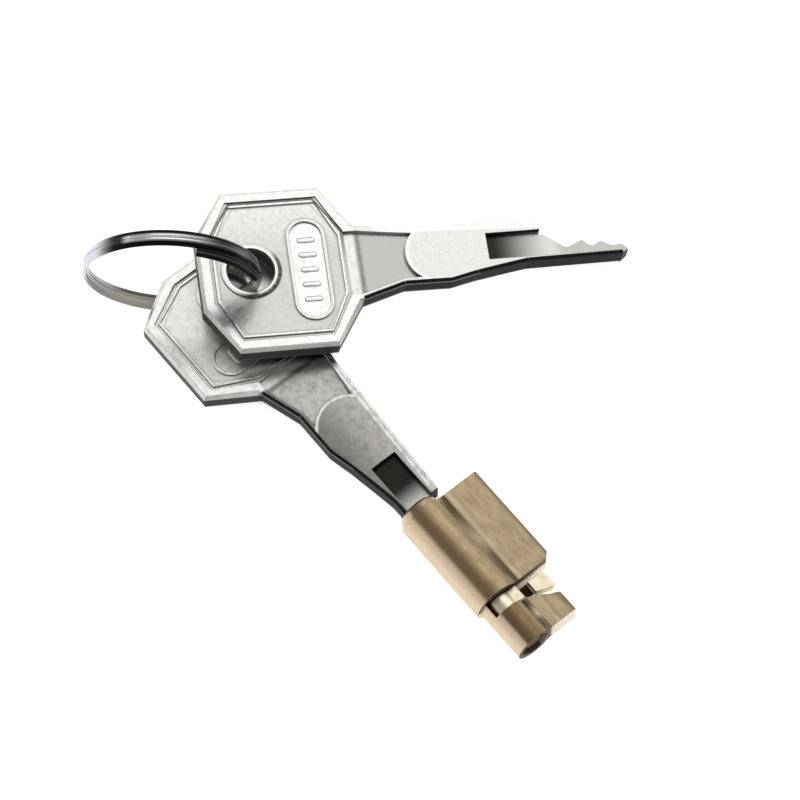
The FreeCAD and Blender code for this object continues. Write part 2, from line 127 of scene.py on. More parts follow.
def mesh_piece(name: str, bm: Mesh, smooth: bool = True) -> Piece:
    """Makes an object of a finished mesh and frees the working mesh.

    Args:
        name: The piece's name.
        bm: The working mesh, in metres in the model's frame.
        smooth: Whether its faces shade smoothly.

    Returns:
        The new object, linked to the scene.
    """
    bmesh.ops.recalc_face_normals(bm, faces=bm.faces)
    mesh = bpy.data.meshes.new(name)
    bm.to_mesh(mesh)
    bm.free()
    mesh.polygons.foreach_set("use_smooth", [smooth] * len(mesh.polygons))
    piece = bpy.data.objects.new(name, mesh)
    bpy.context.scene.collection.objects.link(piece)
    return piece


def close_tube(bm: Mesh, rings: list[list[bmesh.types.BMVert]]) -> None:
    """Joins outlines of equal length to one closed body.

    Args:
        bm: The working mesh.
        rings: The outlines' corners, from one end of the body to the other.
    """
    count = len(rings[0])
    for low, high in zip(rings, rings[1:]):
        for i in range(count):
            bm.faces.new((low[i], low[(i + 1) % count], high[(i + 1) % count], high[i]))
    bm.faces.new(rings[0][::-1])
    bm.faces.new(rings[-1])


def dress(piece: Piece, material: Material) -> None:
    """Puts a finish on a piece.

    Args:
        piece: The object to dress.
        material: Its finish.
    """
    piece.data.materials.clear()
    piece.data.materials.append(material)


class Slot(Enum):
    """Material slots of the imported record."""

    LOCK_BRASS = "lock_brass"
    KEY_NICKEL = "key_nickel"
    RING_CHROME = "ring_chrome"


class By(Enum):
    """What a share is measured by, in millimetres where it is a length."""

    ALONG = "along the piece"
    ACROSS = "across the piece"
    UP = "up from the piece's middle plane"
    LEVEL = "either way from the middle plane"
    LEAN = "how far a face looks up or down"
    SIDE = "how far a face looks across the piece"
    REAR = "how far a face looks along the piece"
    OPEN = "how open a point lies"
    PATTERN = "the mottle's own pattern"
    DEPTH = "below a key's face"
    EDGE = "in from the bow's outline"
    PANEL = "from the oval panel's middle line"
    HOLE = "from the hole's axis"
    FAR_SIDE = "towards the far side from the bow's middle"
    SHADE_SIDE = "towards the shaded side of the hole"
    THUMB = "from the worn corner"
    RAIL = "below the blade's upper edge"
    BLADE_START = "from the middle of the blade's rounded start"
    STEEP = "share of walls and bevels"
    WALL = "share of outer walls, against those of the relief"


class Join(Enum):
    """How several shares or measures become one."""

    PRODUCT = "MULTIPLY"
    HIGHEST = "MAXIMUM"
    LOWEST = "MINIMUM"


@dataclass
class Place:
    """Where one piece lies: a point of its own, and its own three directions."""

    origin: Vector
    along: Vector
    across: Vector
    up: Vector

    def point(self, x_mm: float, y_mm: float, z_mm: float = 0.0) -> Vector:
        """A point given from the origin, in millimetres along the piece's own directions."""
        return self.origin + (self.along * x_mm + self.across * y_mm + self.up * z_mm) * MM


@dataclass(frozen=True)
class Fade:
    """A share that runs smoothly from start to end between two measures; the first may be the higher one."""

    by: By
    first: float
    last: float
    start: float = 0.0
    end: float = 1.0


Spot = tuple[Fade | By, ...]


def fade(by: By, first: float, last: float, *ends: float) -> Spot:
    """A spot with one soft edge."""
    return (Fade(by, first, last, *ends),)


def stripe(by: By, low: float, high: float, soft: float) -> Spot:
    """A spot between two measures, with both edges soft."""
    return fade(by, low - soft, low + soft) + fade(by, high + soft, high - soft)


@dataclass(frozen=True)
class Coat:
    """A tone over those before it, where its spot shows, or a second one if that shows more."""

    tone: "Tone"
    spot: Spot
    amount: float = 1.0
    also: Spot = ()


@dataclass(frozen=True)
class Paint:
    """A base tone and the coats over it."""

    base: "Tone"
    coats: tuple[Coat, ...]


Tone = str | Paint


def shift(low: Tone, high: Tone, spot: Spot) -> Paint:
    """A tone that changes to another one where a spot shows."""
    return Paint(low, (Coat(high, spot),))


class Painter:
    """Turns one finish's paint to nodes, measured in the piece's own directions, so that it rides with it."""

    bump_mm: float = 0.02

    def __init__(self, name: str, place: Place, hollow_mm: float = 0.0) -> None:
        """Starts a finish with its general gauges.

        Args:
            name: The finish's name.
            place: Where the piece lies.
            hollow_mm: How far round a point its walls count as a hollow.
        """
        self.material = bpy.data.materials.new(name)
        self.tree = fresh_tree(self.material)
        self.place = place
        source = add_node(self.tree, "ShaderNodeTexCoord").outputs
        self.points, self.normals = source["Object"], source["Normal"]
        hollow = add_node(self.tree, "ShaderNodeAmbientOcclusion", {"samples": 8, "Distance": hollow_mm * MM})
        self.gauges: dict[By | Fade, Socket] = {
            By.ALONG: self.line(place.along), By.ACROSS: self.line(place.across), By.UP: self.line(place.up),
            By.OPEN: hollow.outputs["AO"]}
        self.gauges[By.LEVEL] = self.size_of(self.gauges[By.UP])
        self.gauges[By.LEAN] = self.size_of(self.facing(place.up))

    def line(self, direction: Vector, origin: Vector | None = None) -> Socket:
        """Measures a shaded point in a direction.

        Args:
            direction: The direction.
            origin: Where the measure starts, or else at the piece's own point.

        Returns:
            Millimetres from the start.
        """
        start = add_node(self.tree, "ShaderNodeVectorMath", {
            "operation": "SUBTRACT", 0: self.points, 1: origin or self.place.origin}).outputs[0]
        return add_node(self.tree, "ShaderNodeVectorMath", {
            "operation": "DOT_PRODUCT", 0: start, 1: direction / MM}).outputs["Value"]

    def facing(self, direction: Vector) -> Socket:
        """Cosine between a face and a direction."""
        return add_node(self.tree, "ShaderNodeVectorMath", {
            "operation": "DOT_PRODUCT", 0: self.normals, 1: direction}).outputs["Value"]

    def distance(self, first: Socket, second: Socket) -> Socket:
        """Length of the line that two measures at right angles make."""
        joined = add_node(self.tree, "ShaderNodeCombineXYZ", {0: first, 1: second}).outputs[0]
        return add_node(self.tree, "ShaderNodeVectorMath", {
            "operation": "LENGTH", 0: joined}).outputs["Value"]

    def distance_to(self, x_mm: float, y_mm: float) -> Socket:
        """Millimetres from an upright line through a point of the piece."""
        point = self.place.point(x_mm, y_mm)
        return self.distance(self.line(self.place.along, point), self.line(self.place.across, point))

    def size_of(self, value: Socket) -> Socket:
        """A measure without its sign."""
        return self.join(Join.HIGHEST, value, self.join(Join.PRODUCT, value, -1.0))

    def join(self, how: Join, *values: Socket | float) -> Socket:
        """Makes one value of several.

        Args:
            how: What is made of them.
            values: The values, the first one a socket.

        Returns:
            The product, the highest or the lowest.
        """
        result, *rest = values
        for value in rest:
            result = add_node(self.tree, "ShaderNodeMath", {
                "operation": how.value, 0: result, 1: value}).outputs[0]
        return result

    def rest(self, share: Socket) -> Socket:
        """What a share leaves of the whole."""
        return add_node(self.tree, "ShaderNodeMath", {"operation": "SUBTRACT", 0: 1.0, 1: share}).outputs[0]

    def share(self, spot: Spot, amount: float = 1.0) -> Socket:
        """How much a spot shows.

        Args:
            spot: Fades, and gauges that are shares themselves.
            amount: Its share where it shows most.

        Returns:
            The product of all of them.
        """
        for part in spot:
            if part not in self.gauges:
                self.gauges[part] = add_node(self.tree, "ShaderNodeMapRange", {
                    "interpolation_type": "SMOOTHSTEP", "Value": self.gauges[part.by], "From Min": part.first,
                    "From Max": part.last, "To Min": part.start, "To Max": part.end}).outputs["Result"]
        return self.join(Join.PRODUCT, *(self.gauges[part] for part in spot), amount)

    def colour(self, tone: Tone) -> Socket | tuple[float, float, float, float]:
        """Turns a tone to a colour, with a mix for each coat.

        Args:
            tone: A hex code, or paint.

        Returns:
            The linear colour or the last mix.
        """
        if isinstance(tone, str):
            return linear(tone)
        result = self.colour(tone.base)
        for coat in tone.coats:
            share = self.share(coat.spot, coat.amount)
            if coat.also:
                share = self.join(Join.HIGHEST, share, self.share(coat.also, coat.amount))
            result = add_node(self.tree, "ShaderNodeMix", {
                "data_type": "RGBA", 0: share, 6: result, 7: self.colour(coat.tone)}).outputs[2]
        return result

    def noise(self, size_mm: float, detail: float, roughness: float = 0.5, stretch: float = 1.0) -> Socket:
        """A cloudy pattern that rides with the piece.

        Args:
            size_mm: The size of its features.
            detail: How many finer layers it has.
            roughness: How strong they are.
            stretch: Its scale along the piece; less than one draws it out.

        Returns:
            The pattern, about 0.5 in the middle.
        """
        points = self.points
        if stretch != 1.0:
            yaw = math.atan2(self.place.along.y, self.place.along.x)
            turned = {"vector_type": "TEXTURE", "Rotation": (0.0, 0.0, yaw)}
            for settings in (turned, {"Scale": (stretch, 1.0, 1.0)}):
                points = add_node(self.tree, "ShaderNodeMapping", {**settings, "Vector": points}).outputs[0]
        return add_node(self.tree, "ShaderNodeTexNoise", {
            "Scale": per_metre(size_mm), "Detail": detail, "Roughness": roughness,
            "Vector": points}).outputs["Fac"]

    def relief(self, height: Socket, strength: float, edge_mm: float) -> Socket:
        """Fine relief over rounded edges.

        Args:
            height: The pattern that stands out.
            strength: How strongly it does.
            edge_mm: The radius of the edges.

        Returns:
            The surface's direction.
        """
        edges = add_node(self.tree, "ShaderNodeBevel", {"samples": 6, "Radius": edge_mm * MM})
        return add_node(self.tree, "ShaderNodeBump", {
            "Strength": strength, "Distance": self.bump_mm * MM, "Height": height,
            "Normal": edges.outputs["Normal"]}).outputs["Normal"]

    def finish(self, tone: Tone, surface: dict) -> Material:
        """Closes the material.

        Args:
            tone: Its paint.
            surface: The shader's other inputs.

        Returns:
            The material.
        """
        shader = add_node(self.tree, "ShaderNodeBsdfPrincipled", {"Base Color": self.colour(tone), **surface})
        add_node(self.tree, "ShaderNodeOutputMaterial", {"Surface": shader.outputs[0]})
        return self.material


@dataclass(frozen=True)
class BowRelief:
    """Where the relief of a bow lies, in millimetres from its hole."""

    half_length: float = 10.6
    half_width: float = 11.65
    chamfer_x: float = 4.1
    chamfer_y: float = 6.3
    centre_x: float = 3.8
    panel_x: float = 7.8
    panel_y: float = -0.4
    panel_half: float = 4.8

    def edge(self, painter: Painter) -> Socket:
        """Measures how far a point lies in from the bow's eight-sided outline.

        Args:
            painter: The painter of the key's finish.

        Returns:
            Millimetres in from the nearest side.
        """
        place = painter.place
        slope = math.hypot(self.chamfer_x, self.chamfer_y)
        lean_x, lean_y = self.chamfer_y / slope, self.chamfer_x / slope
        corner = self.half_length * lean_x + (self.half_width - self.chamfer_y) * lean_y
        quarter = ((1.0, 0.0, self.half_length), (0.0, 1.0, self.half_width), (lean_x, lean_y, corner))
        sides = {(turn_x * x, turn_y * y, reach)
                 for x, y, reach in quarter for turn_x in (1, -1) for turn_y in (1, -1)}
        return painter.join(Join.LOWEST, *(
            painter.line(-place.along * x - place.across * y,
                         place.point(self.centre_x + x * reach, y * reach))
            for x, y, reach in sorted(sides)))

    def panel(self, painter: Painter) -> Socket:
        """Measures how far a point lies from the oval panel's middle line.

        Args:
            painter: The painter of the key's finish.

        Returns:
            Millimetres from the line that the oval is drawn round.
        """
        place = painter.place
        up, down = (
            painter.line(place.across * way, place.point(self.panel_x, self.panel_y + way * self.panel_half))
            for way in (1, -1))
        return painter.distance(painter.line(place.along, place.point(self.panel_x, self.panel_y)),
                                painter.join(Join.HIGHEST, up, down, 0.0))


@dataclass(frozen=True)
class KeyMap:
    """Where the tones of a key show; its lengths are in millimetres from the hole."""

    on_bow: Spot = fade(By.ALONG, 14.5, 13.9)
    off_bow: Spot = fade(By.ALONG, 13.9, 14.5)
    sunk: Spot = fade(By.DEPTH, 0.03, 0.13)
    bow_lit_side: Spot = fade(By.ACROSS, 1.0, 9.0)
    groove: Spot = stripe(By.EDGE, 1.57, 1.98, 0.05)
    far_side: Spot = fade(By.FAR_SIDE, 0.5, 7.0, 0.16, 0.95)
    inner_line: Spot = stripe(By.EDGE, 2.32, 2.62, 0.10)
    in_panel: Spot = fade(By.PANEL, 2.2, 2.05)
    panel_rim: Spot = stripe(By.PANEL, 2.2, 2.62, 0.05)
    panel_line: Spot = stripe(By.PANEL, 2.62, 2.86, 0.10)
    in_hole: Spot = fade(By.HOLE, 3.20, 3.30, 0.85, 0.0)
    boss_rim: Spot = stripe(By.HOLE, 3.56, 4.0, 0.06)
    crescent_shadow: Spot = stripe(By.HOLE, 3.56, 4.14, 0.10) + fade(By.SHADE_SIDE, 0.0, 2.2)
    bow_end: Spot = fade(By.ALONG, 12.75, 12.95)
    blade_lit_side: Spot = fade(By.ACROSS, -3.6, 4.0)
    neck: Spot = fade(By.DEPTH, 0.15, 0.40)
    neck_start: Spot = stripe(By.ALONG, 14.35, 14.9, 0.3) + fade(By.DEPTH, 0.2, 0.4)
    on_face: Spot = fade(By.DEPTH, 0.30, 0.10)
    on_rail: Spot = fade(By.ALONG, 16.0, 18.0)
    upper_edge: Spot = stripe(By.RAIL, -0.5, 0.86, 0.10)
    edge_shadow: Spot = stripe(By.RAIL, 0.34, 0.46, 0.08)
    start_arc: Spot = (stripe(By.BLADE_START, 4.22, 4.6, 0.14) + fade(By.ALONG, 24.0, 22.8)
                       + fade(By.ALONG, 20.0, 20.5))
    mottle: Spot = fade(By.PATTERN, 0.40, 0.70)
    thumb: Spot = fade(By.THUMB, 0.6, 3.0, 0.65, 0.0) + fade(By.PATTERN, 0.40, 0.70, 0.35, 1.15)
    milled: Spot = fade(By.DEPTH, 0.58, 0.72)
    near_tip: Spot = fade(By.ALONG, 30.0, 30.5)
    tip: Spot = fade(By.ALONG, 40.0, 42.5)
    wall: Spot = fade(By.LEAN, 0.66, 0.45)
    bevel: Spot = stripe(By.LEAN, 0.30, 0.84, 0.04)
    outer: Spot = fade(By.DEPTH, 0.54, 0.66)
    upper_side: Spot = fade(By.SIDE, 0.15, 0.60)
    hollow: Spot = fade(By.OPEN, 0.64, 0.14)


@dataclass(frozen=True)
class SatinNickel:
    """Nickel plate on a die-struck, tumbled blank: bright rims and matt fields, with painted shade on its
    flanks and in its lines, and a smudge of grime.
    """

    name: str
    field: str
    # Painted light: the bow's field turns to this lighter tone across it, from 1 to 9 mm off the hole.
    field_lit: str
    blade: str
    # Painted shade: the blade darkens to this tone towards its lower edge, and in a thin line below its upper
    # edge.
    blade_shaded: str
    blade_mottle: str
    neck: str
    # Painted shadow in the milled groove: dark at its square end, lightening to the next tone towards the tip.
    trough_shadow: str
    trough_lit: str
    # Painted highlight along the blade's upper edge and the arc of its rounded start.
    painted_highlight: str
    worn_mm: Pair
    trough_mm: Pair
    mottle_mm: float
    outline_share: float
    rim: str = "#DBDAD6"
    panel: str = "#ECEBE7"
    mottle: str = "#A9A7A2"
    # Dark grey: painted shade in the bow's groove, inner line and panel outline and at the neck's start, and
    # grime on one worn spot.
    grime_and_shade: str = "#5C5A56"
    line: str = "#96948F"
    tip: str = "#B2B0AB"
    # Near black: painted shade inside the hole and in hollows, and a painted shadow beside the boss.
    painted_shade: str = "#1F1E1C"
    # Painted shade on the outer walls: dark on the bow, near black on the blade, lighter where they look to
    # the upper side.
    flank_shade: str = "#4C4A47"
    blade_flank_shade: str = "#262522"
    lit_flank: str = "#A5A39F"
    grain_mm: float = 0.30
    grain_strength: float = 0.22
    edge_mm: float = 0.12
    hollow_mm: float = 2.4
    rim_roughness: float = 0.25
    field_roughness: float = 0.34
    flank_roughness: float = 0.42
    specular: Pair = (0.05, 0.50)
    shade: Pair = (0.85, -0.53)
    rail_y: float = 5.69
    rail_slope: float = -0.0445
    start_mm: Pair = (25.35, 0.65)
    relief: BowRelief = BowRelief()
    at: KeyMap = KeyMap()

    def _gauge(self, painter: Painter, half_mm: float) -> None:
        """Sets up the measures that only a key has.

        Args:
            painter: The painter of this finish.
            half_mm: Half of the key's thickness.
        """
        at, place, gauges = self.at, painter.place, painter.gauges
        faces = (painter.line(place.up * way, place.point(0.0, 0.0, way * half_mm)) for way in (1, -1))
        gauges.update({
            By.PATTERN: painter.noise(self.mottle_mm, 5.0, 0.65),
            By.EDGE: self.relief.edge(painter),
            By.PANEL: self.relief.panel(painter),
            By.HOLE: painter.distance(gauges[By.ALONG], gauges[By.ACROSS]),
            By.FAR_SIDE: painter.line(Vector((0.0, 1.0, 0.0)), place.point(self.relief.centre_x, 0.0)),
            By.SHADE_SIDE: painter.line(Vector((*self.shade, 0.0))),
            By.THUMB: painter.distance_to(*self.worn_mm),
            By.BLADE_START: painter.distance_to(*self.start_mm),
            By.RAIL: painter.line(
                place.along * self.rail_slope - place.across, place.point(0.0, self.rail_y)),
            By.SIDE: painter.facing(place.across),
            By.DEPTH: painter.join(Join.PRODUCT, painter.join(Join.HIGHEST, *faces), -1.0)})
        bevel = painter.share(at.bevel + at.off_bow)
        gauges[By.STEEP] = painter.join(Join.HIGHEST, painter.share(at.wall), bevel)
        gauges[By.WALL] = painter.join(
            Join.HIGHEST, painter.share(at.outer), painter.share(at.near_tip), bevel)

    def _bow(self) -> Paint:
        """Paints the bow's rim and field with painted light across it, painted shade in its lines, its panel,
        and the boss round its hole with painted shade inside and a painted shadow beside it.

        Returns:
            The bow's paint.
        """
        at, drawn = self.at, self.outline_share
        return Paint(self.rim, (
            # Painted light: the field lightens across the bow.
            Coat(shift(self.field, self.field_lit, at.bow_lit_side), at.sunk),
            # Painted shade: the groove on the bow's far side, the inner line and the panel's outline.
            Coat(self.grime_and_shade, at.groove + at.far_side + at.on_bow),
            Coat(self.grime_and_shade, at.inner_line + at.on_bow, 0.22),
            Coat(self.panel, at.in_panel + at.on_bow),
            Coat(self.field, at.panel_rim + at.on_bow, 0.55 * drawn),
            Coat(self.grime_and_shade, at.panel_line + at.on_bow, 0.30 * drawn),
            # Painted shade inside the hole, and a painted shadow crescent beside the boss on its shaded side.
            Coat(self.painted_shade, at.in_hole),
            Coat(self.field, at.boss_rim, 0.9),
            Coat(self.painted_shade, at.crescent_shadow, 0.92),
            Coat(self.rim, at.bow_end)))

    def _walls(self) -> Paint:
        """Paints the relief's walls, and the outer walls with painted shade: black where they look to the
        lower side, lighter where they look to the upper side.

        Returns:
            The walls' paint.
        """
        at = self.at
        flank_shade = shift(shift(self.blade_flank_shade, self.flank_shade, at.on_bow), self.lit_flank, at.upper_side)
        return shift(shift(self.neck, self.line, at.on_bow), flank_shade, (By.WALL,))

    def _paint(self) -> Paint:
        """Paints the whole key.

        Returns:
            Its paint.
        """
        at = self.at
        # Painted light and shade: the blade lightens across it towards its upper edge.
        blade = Paint(shift(self.blade_shaded, self.blade, at.blade_lit_side), (Coat(self.neck, at.neck),))
        # Painted shadow in the milled groove, dark at its square end and lighter towards the tip.
        milled = Paint(self.trough_shadow, (
            Coat(self.trough_lit, fade(By.ALONG, *self.trough_mm)), Coat(self.tip, at.tip)))
        return Paint(blade, (
            Coat(self._bow(), at.on_bow),
            # Painted shadow at the neck's start, next to the bow's rim.
            Coat(self.grime_and_shade, at.neck_start, 0.75),
            # Painted highlight: bright lines along the rail's upper edge and along the arc of the blade's
            # start.
            Coat(self.painted_highlight, at.upper_edge + at.on_rail + at.on_face, 0.9, at.start_arc + at.on_face),
            # Painted shadow: a thin line just below the upper edge's painted highlight.
            Coat(self.blade_shaded, at.edge_shadow + at.on_rail + at.on_face, 0.55),
            Coat(shift(self.blade_mottle, self.mottle, at.on_bow), at.mottle, 0.42),
            Coat(self.grime_and_shade, at.thumb),
            Coat(milled, at.milled + at.near_tip),
            Coat(self._walls(), (By.STEEP,)),
            # Painted shade where a point lies shut in.
            Coat(self.painted_shade, at.hollow)))

    def material(self, place: Place, half_mm: float) -> Material:
        """Builds the finish; rims, fields and flanks are told apart in the key's own frame.

        Args:
            place: Where the key lies.
            half_mm: Half of its thickness.

        Returns:
            The material.
        """
        at, painter = self.at, Painter(self.name, place, self.hollow_mm)
        self._gauge(painter, half_mm)
        # Walls are dull, and dark with painted shade, apart from the bow's relief and the outer ones that look
        # to the upper side.
        walls = painter.join(Join.HIGHEST, painter.gauges[By.WALL], painter.share(at.off_bow))
        lower = painter.rest(painter.share((By.WALL,) + at.upper_side))
        bare = painter.rest(painter.join(Join.PRODUCT, painter.gauges[By.STEEP], walls, lower))
        shine = add_node(painter.tree, "ShaderNodeMix", {0: bare, 2: self.specular[0], 3: self.specular[1]})
        face = add_node(painter.tree, "ShaderNodeMix", {
            0: painter.share(at.sunk), 2: self.rim_roughness, 3: self.field_roughness})
        rough = add_node(painter.tree, "ShaderNodeMix", {
            0: painter.gauges[By.STEEP], 2: face.outputs[0], 3: self.flank_roughness})
        # The real grain is about 0.1 mm, too fine for the render, so it is drawn at 0.3 mm.
        normal = painter.relief(painter.noise(self.grain_mm, 2.0), self.grain_strength, self.edge_mm)
        return painter.finish(self._paint(), {"Metallic": bare, "Specular IOR Level": shine.outputs[0],
                                              "Roughness": rough.outputs[0], "Normal": normal})


@dataclass(frozen=True)
class LockMap:
    """Where the tones of the lock's profile show; its lengths are in millimetres from its front and axis."""

    on_body: Spot = fade(By.ALONG, 17.2, 16.9)
    on_end: Spot = fade(By.ALONG, 16.9, 17.2)
    patch: Spot = fade(By.PATTERN, 0.45, 1.05)
    on_round: Spot = fade(By.SIDE, 0.60, 0.44) + fade(By.ACROSS, 2.7, 2.0)
    body_shade: Spot = fade(By.SIDE, -0.45, 0.15)
    end_shade: Spot = fade(By.SIDE, -0.62, -0.30)
    body_highlight: Spot = fade(By.SIDE, 0.48, 0.68)
    end_highlight: Spot = fade(By.SIDE, 0.46, 0.58)
    foot_pale: Spot = stripe(By.ACROSS, 2.15, 2.70, 0.25)
    foot_dark: Spot = stripe(By.ACROSS, 3.00, 3.45, 0.20)
    lug_pale: Spot = stripe(By.ACROSS, 3.75, 4.15, 0.20)
    body_edge: Spot = fade(By.ACROSS, 8.0, 8.6)
    end_edge: Spot = fade(By.ACROSS, 5.5, 6.4)
    lower_bevel: Spot = fade(By.SIDE, -0.52, -0.66) + fade(By.ACROSS, 4.6, 5.2)
    looks_back: Spot = fade(By.REAR, 0.70, 0.95)
    past_step: Spot = fade(By.ALONG, 18.0, 20.0)
    on_lug: Spot = fade(By.ACROSS, 2.3, 3.0)
    upper_half: Spot = fade(By.UP, 0.0, 0.5)
    hollow: Spot = fade(By.OPEN, 0.60, 0.10)


@dataclass(frozen=True)
class DrawnBrass:
    """Leaded brass drawn to a profile: greyish tan, finely streaked along the lock, with painted shade and a
    pale painted reflection on its round side.
    """

    body: str = "#BFAC8A"
    dull: str = "#AF9C7C"
    # Brown: painted shade on the round side and along the lug's foot.
    brown: str = "#7E6547"
    # Pale tone of a painted reflection low on the lock's round side.
    painted_highlight: str = "#D9C5AB"
    # Painted shadow on the upper part of the main body's rear face.
    rear_shadow: str = "#4E3018"
    # Pale tone of painted reflections: on rear faces and in the lines along the lug.
    rear: str = "#E2D5C0"
    # Painted shade along the lug's outer edges and a bevel.
    edge: str = "#7D6D58"
    # Dark brown: painted shade in hollows and on the end's rear face.
    hollow: str = "#3A2A1A"
    streak_mm: float = 0.20
    streak_long_mm: float = 14.0
    streak_share: float = 0.5
    streak_strength: float = 0.20
    patch_mm: float = 0.8
    patch_stretch: float = 0.45
    edge_mm: float = 0.12
    hollow_mm: float = 1.2
    roughness: Pair = (0.40, 0.50)
    at: LockMap = LockMap()

    def _paint(self) -> Paint:
        """Paints the whole profile.

        Returns:
            Its paint.
        """
        at = self.at
        # Rear faces: on the main body's, painted shadow above a pale painted reflection; on the end's, painted
        # shade on the round part and a pale painted reflection on the lug.
        step = shift(self.rear, self.rear_shadow, at.upper_half)
        rear = shift(self.hollow, self.rear, at.on_lug)
        return Paint(shift(self.body, self.dull, at.patch), (
            # Painted shade: the round side turns brown across its middle, on the body and on the end.
            Coat(self.brown, at.body_shade + at.on_round + at.on_body, 0.66),
            Coat(self.brown, at.end_shade + at.on_round + at.on_end, 0.85),
            # Painted reflection: a pale band low on the round side, on the body and on the end.
            Coat(self.painted_highlight, at.body_highlight + at.on_body),
            Coat(self.painted_highlight, at.end_highlight + at.on_end),
            # Painted light and shade along the lug: a line of painted shade at its foot between two painted
            # highlight lines, and painted shade along its outer edges and a bevel.
            Coat(self.rear, at.foot_pale, 0.32),
            Coat(self.brown, at.foot_dark + at.on_body, 0.42),
            Coat(self.rear, at.lug_pale, 0.32),
            Coat(self.edge, at.body_edge + at.on_body, 0.40),
            Coat(self.edge, at.end_edge + at.on_end, 0.75),
            Coat(self.edge, at.lower_bevel),
            Coat(shift(step, rear, at.past_step), at.looks_back),
            # Painted shade where a point lies shut in.
            Coat(self.hollow, at.hollow)))

    def material(self, place: Place) -> Material:
        """Builds the finish; its bands are told apart in the lock's own frame.

        Args:
            place: Where the lock lies; its streaks run along it.

        Returns:
            The material.
        """
        painter = Painter("drawn_brass", place, self.hollow_mm)
        # The real draw marks are under 0.1 mm wide, too fine for the render, so they are drawn at 0.2 mm.
        streak = painter.noise(self.streak_mm, 2.0, stretch=self.streak_mm / self.streak_long_mm)
        broad = painter.noise(self.patch_mm, 2.0, stretch=self.patch_stretch)
        painter.gauges[By.PATTERN] = add_node(painter.tree, "ShaderNodeMath", {
            "operation": "MULTIPLY_ADD", 0: streak, 1: self.streak_share, 2: broad}).outputs[0]
        painter.gauges[By.SIDE] = painter.facing(-place.across)
        painter.gauges[By.REAR] = painter.facing(place.along)
        patch = self.at.patch[0]
        return painter.finish(self._paint(), {
            "Metallic": 1.0,
            "Roughness": painter.share(fade(patch.by, patch.first, patch.last, *self.roughness)),
            "Normal": painter.relief(streak, self.streak_strength, self.edge_mm)})


@dataclass(frozen=True)
class PlainMetal:
    """A cut or drawn metal of one tone with a light mottle and fine tool marks, with painted shade in its
    hollows.
    """

    name: str
    body: str
    dull: str
    hollow: str
    roughness: Pair
    mark_mm: float
    mark_depth: float
    edge_mm: float = 0.10
    hollow_mm: float = 1.5
    marks: Pair = (0.35, 0.68)
    # Painted shade where a point lies shut in.
    closed: Spot = fade(By.OPEN, 0.60, 0.15)
    # Painted shadow in the cam's gap between its hub and its nose.
    gap_shadow: Spot = stripe(By.ACROSS, 3.1, 4.3, 0.12)

    def material(self, place: Place, gap_shaded: bool = False) -> Material:
        """Builds the finish from its tones and its marks.

        Args:
            place: Where the lock lies.
            gap_shaded: Whether it gets a painted shadow between a cam's hub and its nose.

        Returns:
            The material.
        """
        painter = Painter(self.name, place, self.hollow_mm)
        marks = painter.noise(self.mark_mm, 3.0)
        painter.gauges[By.PATTERN] = marks
        coats = (Coat(self.hollow, self.closed), Coat(self.hollow, self.gap_shadow))[:2 if gap_shaded else 1]
        return painter.finish(Paint(shift(self.body, self.dull, fade(By.PATTERN, *self.marks)), coats), {
            "Metallic": 1.0, "Roughness": painter.share(fade(By.PATTERN, *self.marks, *self.roughness)),
            "Normal": painter.relief(marks, self.mark_depth, self.edge_mm)})


@dataclass(frozen=True)
class ChromedWire:
    """Chromed spring wire, with a painted highlight along the middle of its coils and painted black
    reflections along their outer edges.
    """

    bright: str = "#FFFFFF"
    grey: str = "#C8C3C6"
    dim: str = "#6E656B"
    dark: str = "#363235"
    tan: str = "#D3CCBE"
    lilac: str = "#CBC8D0"
    black: str = "#0D0B0C"
    soft: str = "#6E6863"
    roughness: float = 0.24
    specular: Pair = (0.10, 0.50)
    on_top: Spot = fade(By.ACROSS, -2.0, 2.0)
    crown: Spot = fade(By.LEVEL, 0.62, 0.16)
    left: Spot = fade(By.ALONG, -4.7, -6.0)
    turning_grey: Spot = fade(By.ALONG, 1.0, 4.0)
    turning_dim: Spot = fade(By.ALONG, 4.0, 7.0)
    lap: Spot = stripe(By.UP, 1.55, 1.75, 0.20)
    inner_coil: Spot = fade(By.UP, -0.60, -0.15)
    on_bend: Spot = fade(By.ALONG, -6.6, -9.6)

    def _paint(self) -> Paint:
        """Paints the whole ring.

        Returns:
            Its paint.
        """
        # Painted reflections and shade: on the upper arc, black painted reflections along the wire's edges and
        # a painted highlight along its middle that turns grey and dim towards the keys and dark towards the
        # left; on the lower arc a pale or soft grey tone by coil; painted shade on the third lap; a lilac
        # painted reflection round the far left bend.
        crown = Paint(self.bright, (
            Coat(self.grey, self.turning_grey), Coat(self.dim, self.turning_dim), Coat(self.dark, self.left)))
        return Paint(shift(self.soft, self.tan, self.inner_coil), (
            Coat(shift(self.black, crown, self.crown), self.on_top),
            Coat(self.dim, self.lap, 0.7),
            Coat(self.lilac, self.on_bend)))

    def material(self, place: Place) -> Material:
        """Builds the finish; its painted reflection lines and its painted shaded side are told apart in the
        ring's own frame.

        Args:
            place: Where the ring lies: its own plane is along and across, its turning line is up.

        Returns:
            The material.
        """
        painter = Painter("chromed_wire", place)
        # The wire is metal only on the upper arc, where the painted highlight or the lilac painted reflection
        # shows.
        lit_share = painter.join(Join.HIGHEST, painter.share(self.crown), painter.share(self.on_bend))
        shine = add_node(painter.tree, "ShaderNodeMix", {0: lit_share, 2: self.specular[0], 3: self.specular[1]})
        return painter.finish(self._paint(), {
            "Metallic": painter.join(Join.PRODUCT, lit_share, painter.share(self.on_top)),
            "Specular IOR Level": shine.outputs[0], "Roughness": self.roughness})


